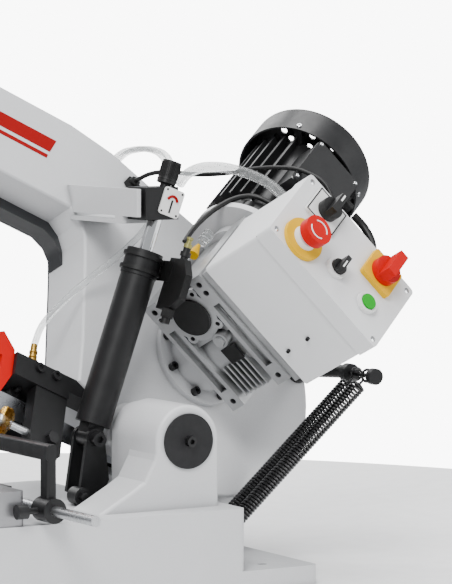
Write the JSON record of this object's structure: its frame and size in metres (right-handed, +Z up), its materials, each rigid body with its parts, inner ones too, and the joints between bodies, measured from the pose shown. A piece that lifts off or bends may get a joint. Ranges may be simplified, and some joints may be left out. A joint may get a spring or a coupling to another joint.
{
  "type": "horizontal band saw",
  "caption": "Bench-top swing-down metal band saw: canted casting bow with worm-geared motor, control box, downfeed cylinder, balance springs, bed and vise.",
  "frame": {"origin": "centre of the four bench-bolt holes, on the underside of the bed", "axes": "+X towards the motor end, -Y towards the operator, +Z up"},
  "size_m": [1.4899, 0.5908, 0.8658],
  "materials": {
    "bow_paint": "light grey textured casting paint",
    "base_paint": "light grey casting paint",
    "dark_paint": "dark grey sheet paint",
    "cast_iron": "ground casting",
    "black_steel": "black oxide, satin",
    "machined_steel": "turned and ground",
    "bright_steel": "hard chrome",
    "bronze": "sintered bronze",
    "brass": "brushed",
    "cast_aluminium": "raw casting",
    "motor_black": "black paint",
    "black_plastic": "satin",
    "cap_black": "textured",
    "grey_plastic": "fine texture",
    "yellow_plastic": "gloss",
    "red_plastic": "gloss",
    "green_plastic": "gloss",
    "pale_plate": "satin plate",
    "red_guard": "red paint",
    "screw_black": "blackened screws",
    "spring_black": "glossy black wire",
    "cable_black": "satin sheath",
    "clear_hose": "clear tube",
    "blade_steel": "spring steel band"
  },
  "bodies": {
    "base": {"bed": "base_paint", "cutting_table": "cast_iron", "pivot_casting": "bow_paint", "pivot_bushes": "bronze", "pivot_cap": "cap_black", "base_bolts": "screw_black", "base_brackets": "black_steel", "fixed_jaws": "base_paint", "stop_rod": "machined_steel"},
    "vise_jaw": {"moving_jaw": "base_paint"},
    "vise_screw": {"vise_handwheel": "black_steel"},
    "length_stop": {"stop_arm": "black_steel"},
    "downfeed_barrel": {"cylinder_barrel": "black_steel", "limit_switch": "black_plastic"},
    "downfeed_rod": {"piston_rod": "bright_steel"},
    "balance_springs": {"spring_coils": "spring_black"},
    "spring_hooks": {"spring_upper_hooks": "spring_black"},
    "motor_rotor": {"motor_shaft": "machined_steel", "cooling_fan": "black_plastic"},
    "drive_wheel": {"drive_wheel": "cast_iron", "output_shaft": "machined_steel"},
    "tension_slide": {"tension_slide": "machined_steel"},
    "tension_screw": {"tension_handwheel": "black_plastic"},
    "idler_wheel": {"idler_wheel": "cast_iron"},
    "chip_brush": {"wire_brush": "brass"},
    "left_guide": {"left_guide_arm": "machined_steel"},
    "estop_button": {"estop_button": "red_plastic"},
    "start_button": {"start_button": "green_plastic"},
    "selector_knob": {"selector_knob": "black_plastic"},
    "main_switch": {"main_switch_knob": "red_plastic"},
    "speed_switch": {"speed_switch_knob": "black_plastic"},
    "feed_valve": {"feed_valve_knob": "black_plastic"},
    "bow": {"bow_frame": "bow_paint", "rear_cover": "dark_paint", "bow_screws": "screw_black", "pivot_shaft": "machined_steel", "slide_rails": "machined_steel", "saw_blade": "blade_steel", "gearbox_flange": "bow_paint", "gearbox_case": "cast_aluminium", "gearbox_caps": "black_plastic", "motor_body": "motor_black", "fan_cowl": "motor_black", "terminal_box": "motor_black", "cables": "cable_black", "control_box": "grey_plastic", "control_box_lid": "grey_plastic", "control_box_bracket": "cast_aluminium", "estop_collar": "yellow_plastic", "panel_bezels": "bright_steel", "main_switch_plate": "yellow_plastic", "speed_switch_plate": "pale_plate", "right_guide": "black_steel", "blade_guard": "red_guard", "coolant_barb": "brass", "valve_block": "black_steel", "cylinder_bracket": "bow_paint", "feed_scale_plate": "pale_plate", "spring_arm": "black_steel", "clear_hoses": "clear_hose"}
  },
  "joints": [
    {"name": "bow_pivot", "type": "hinge", "parent": "base", "child": "bow", "pos_m": [0.33, -0.08, 0.19], "axis": [0, 1, 0], "range_deg": [-25.4, 3]},
    {"name": "barrel_swing", "type": "hinge", "parent": "base", "child": "downfeed_barrel", "pos_m": [0.258, -0.02, 0.186], "axis": [0, 1, 0], "range_deg": [-25, 4]},
    {"name": "rod_stroke", "type": "slide", "parent": "downfeed_barrel", "child": "downfeed_rod", "axis": [0.3371, 0, 0.9415], "range_m": [-0.034, 0.005]},
    {"name": "spring_swing", "type": "hinge", "parent": "base", "child": "balance_springs", "pos_m": [0.426, -0.044, 0.0415], "axis": [0, 1, 0], "range_deg": [-23, 4]},
    {"name": "spring_stretch", "type": "slide", "parent": "balance_springs", "child": "spring_hooks", "axis": [0.7515, 0, 0.6598], "range_m": [-0.012, 0.08]},
    {"name": "motor_spin", "type": "hinge", "parent": "bow", "child": "motor_rotor", "pos_m": [0.56486, 0.05213, 0.44615], "axis": [0.7525, 0.4331, 0.4961], "continuous": true},
    {"name": "drive_wheel_spin", "type": "hinge", "parent": "bow", "child": "drive_wheel", "pos_m": [0.463, 0.105, 0.25215], "axis": [-0.2131, 0.8729, -0.4389], "continuous": true},
    {"name": "tension_travel", "type": "slide", "parent": "bow", "child": "tension_slide", "axis": [0.8996, 0, -0.4368], "range_m": [0, 0.005]},
    {"name": "tension_screw_turn", "type": "hinge", "parent": "tension_slide", "child": "tension_screw", "pos_m": [-0.5903, 0.06048, 0.79126], "axis": [0.8996, 0, -0.4368], "range_deg": [-10, 735]},
    {"name": "idler_wheel_spin", "type": "hinge", "parent": "tension_slide", "child": "idler_wheel", "pos_m": [-0.40507, 0.105, 0.67366], "axis": [-0.2131, 0.8729, -0.4389], "continuous": true},
    {"name": "chip_brush_spin", "type": "hinge", "parent": "bow", "child": "chip_brush", "pos_m": [0.14946, -0.02269, 0.20738], "axis": [0.8996, 0, -0.4368], "continuous": true},
    {"name": "left_guide_slide", "type": "slide", "parent": "bow", "child": "left_guide", "axis": [0.8996, 0, -0.4368], "range_m": [-0.06, 0.25]},
    {"name": "vise_screw_turn", "type": "hinge", "parent": "vise_jaw", "child": "vise_screw", "pos_m": [-0.692, 0.162, 0.165], "axis": [1, 0, 0], "range_deg": [0, 13680]},
    {"name": "vise_travel", "type": "slide", "parent": "base", "child": "vise_jaw", "axis": [1, 0, 0], "range_m": [-0.0005, 0.1905]},
    {"name": "length_stop_slide", "type": "slide", "parent": "base", "child": "length_stop", "axis": [0, 1, 0], "range_m": [-0.1, 0]},
    {"name": "estop_push", "type": "slide", "parent": "bow", "child": "estop_button", "axis": [-0.2131, 0.8729, -0.4389], "range_m": [0, 0.005]},
    {"name": "start_push", "type": "slide", "parent": "bow", "child": "start_button", "axis": [-0.2131, 0.8729, -0.4389], "range_m": [0, 0.003], "stiffness_N_per_m": 600, "springref_m": -0.002},
    {"name": "selector_turn", "type": "hinge", "parent": "bow", "child": "selector_knob", "pos_m": [0.50961, -0.21344, 0.40503], "axis": [-0.2131, 0.8729, -0.4389], "range_deg": [-45, 45]},
    {"name": "main_switch_turn", "type": "hinge", "parent": "bow", "child": "main_switch", "pos_m": [0.58491, -0.20042, 0.39436], "axis": [-0.2131, 0.8729, -0.4389], "range_deg": [0, 90]},
    {"name": "speed_switch_turn", "type": "hinge", "parent": "bow", "child": "speed_switch", "pos_m": [0.5161, -0.17704, 0.47427], "axis": [-0.2131, 0.8729, -0.4389], "range_deg": [-60, 60]},
    {"name": "feed_valve_turn", "type": "hinge", "parent": "bow", "child": "feed_valve", "pos_m": [0.366, -0.03, 0.506], "axis": [0.3371, 0, 0.9415], "range_deg": [0, 270]}
  ],
  "couplings": [
    {"joint": "barrel_swing", "follows": "bow_pivot", "ratio": 0.945},
    {"joint": "rod_stroke", "follows": "bow_pivot", "m_per_rad": 0.0693},
    {"joint": "spring_swing", "follows": "bow_pivot", "ratio": 0.85},
    {"joint": "spring_stretch", "follows": "bow_pivot", "m_per_rad": -0.169},
    {"joint": "drive_wheel_spin", "follows": "motor_spin", "ratio": 0.033333},
    {"joint": "idler_wheel_spin", "follows": "motor_spin", "ratio": 0.033333},
    {"joint": "tension_screw_turn", "follows": "tension_travel", "rad_per_m": 2513.3},
    {"joint": "vise_travel", "follows": "vise_screw_turn", "m_per_rad": 0.00079577}
  ]
}
